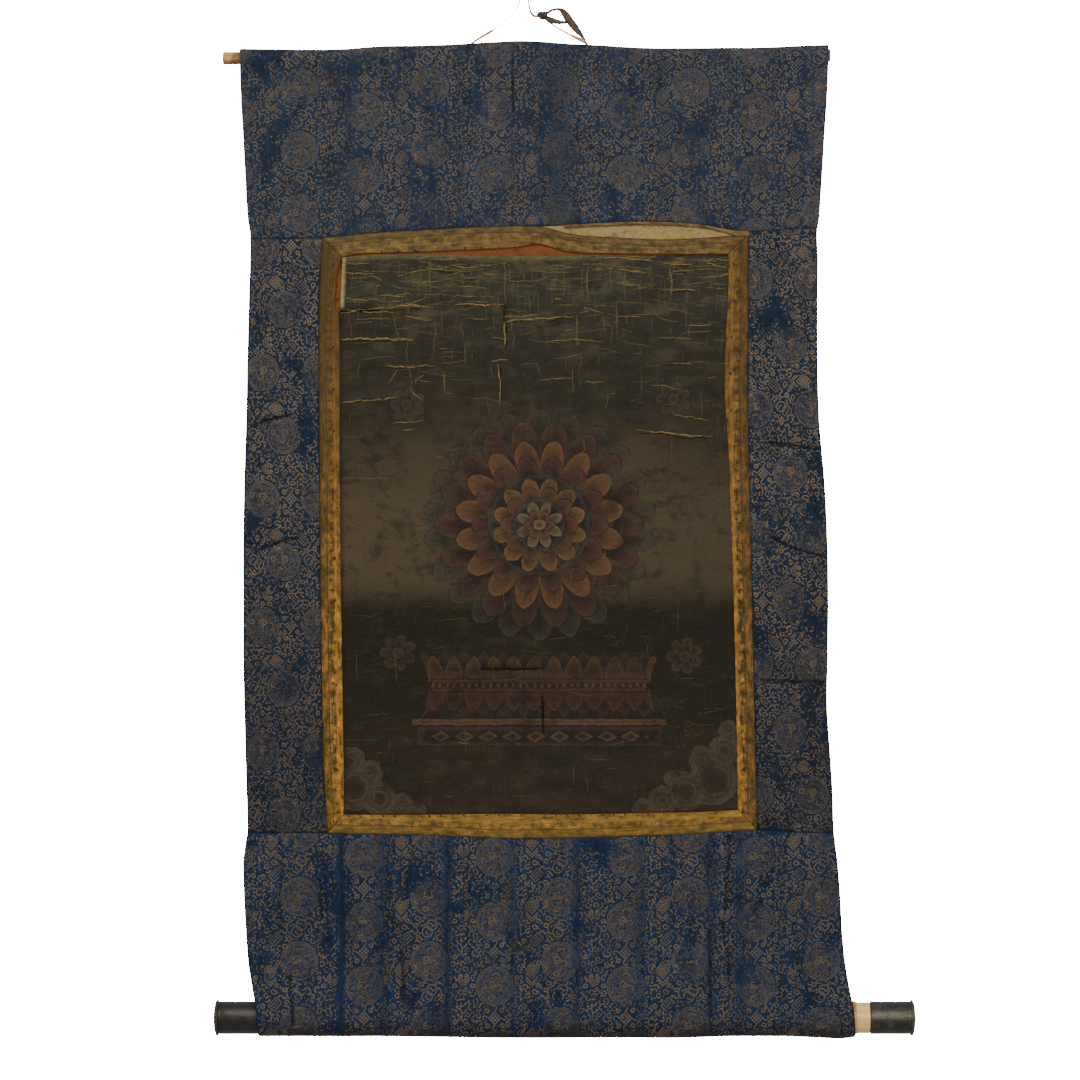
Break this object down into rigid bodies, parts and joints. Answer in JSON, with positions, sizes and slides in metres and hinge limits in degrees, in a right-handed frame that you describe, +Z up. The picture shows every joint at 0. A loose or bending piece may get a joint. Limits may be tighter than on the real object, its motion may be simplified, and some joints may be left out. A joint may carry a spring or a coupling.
{
  "type": "thangka scroll painting with dowel and roller",
  "caption": "Hanging scroll: a painted cloth framed in gold silk and blue brocade, on a dowel above and a capped roller below, with a tied hanging cord.",
  "frame": {"origin": "top of the hanging cord, where it passes over its nail", "axes": "+Z up, +X to the viewer's right, the painted side faces -Y and the wall is at +Y"},
  "size_m": [0.7701, 0.0404, 1.1482],
  "materials": {
    "brocade": "worn silk brocade, matte",
    "gold_silk": "soft sheen, worn",
    "red_silk": "matte",
    "cream_cotton": "matte",
    "tan_cotton": "matte",
    "painted_cotton": "distemper paint, cracked and darkened",
    "dowel_wood": "bare, worn",
    "roller_wood": "bare",
    "lacquer": "black lacquer, scuffed",
    "leather": "worn",
    "cord": "twisted, dry"
  },
  "bodies": {
    "root": {"top_panel": "brocade", "left_panel": "brocade", "right_panel": "brocade", "bottom_panel": "brocade", "border_top": "gold_silk", "border_bottom": "gold_silk", "border_left": "gold_silk", "border_right": "gold_silk", "seam_allowance": "gold_silk", "red_strip_top": "red_silk", "red_strip_left": "red_silk", "red_strip_bottom": "red_silk", "backing_cloth": "cream_cotton", "painting": "painted_cotton", "sleeve_lining": "tan_cotton", "top_dowel": "dowel_wood", "roller": "roller_wood", "cap_left": "lacquer", "cap_right": "lacquer", "hanging_cord": "cord", "thong": "cord", "ribbon": "leather", "ribbon_tail": "leather", "knot": "leather"}
  },
  "joints": []
}
